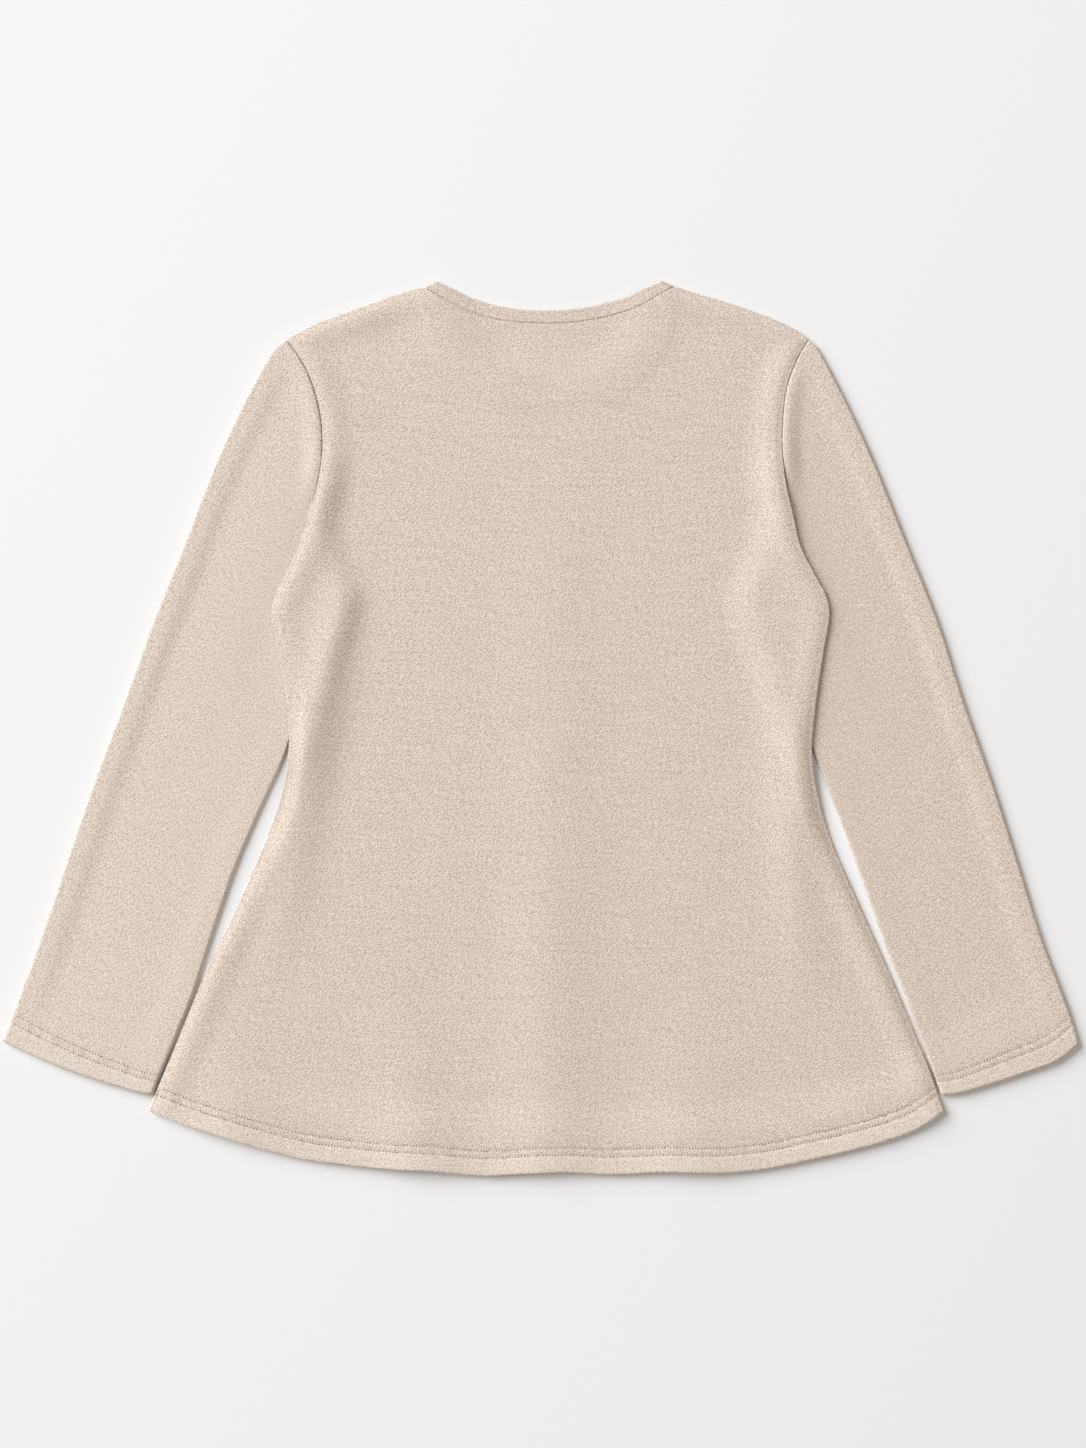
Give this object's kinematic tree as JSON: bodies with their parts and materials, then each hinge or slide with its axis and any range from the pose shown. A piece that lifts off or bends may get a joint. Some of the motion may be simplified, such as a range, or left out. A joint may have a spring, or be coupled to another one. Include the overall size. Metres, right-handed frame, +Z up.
{
  "type": "cardigan",
  "caption": "Long-sleeved collarless knitted cardigan with a flared hem, laid out flat with its back up.",
  "frame": {"origin": "middle of the laid garment's outline, on the surface that it lies on", "axes": "+X to the right as seen from above with the back up, +Y towards the neck, +Z up from the surface"},
  "size_m": [0.8393, 0.6974, 0.0106],
  "materials": {
    "knit": "brushed heather knit, matte"
  },
  "bodies": {
    "root": {"back": "knit", "front_left": "knit", "front_right": "knit", "sleeve_left": "knit", "sleeve_right": "knit", "neckband": "knit"}
  },
  "joints": []
}
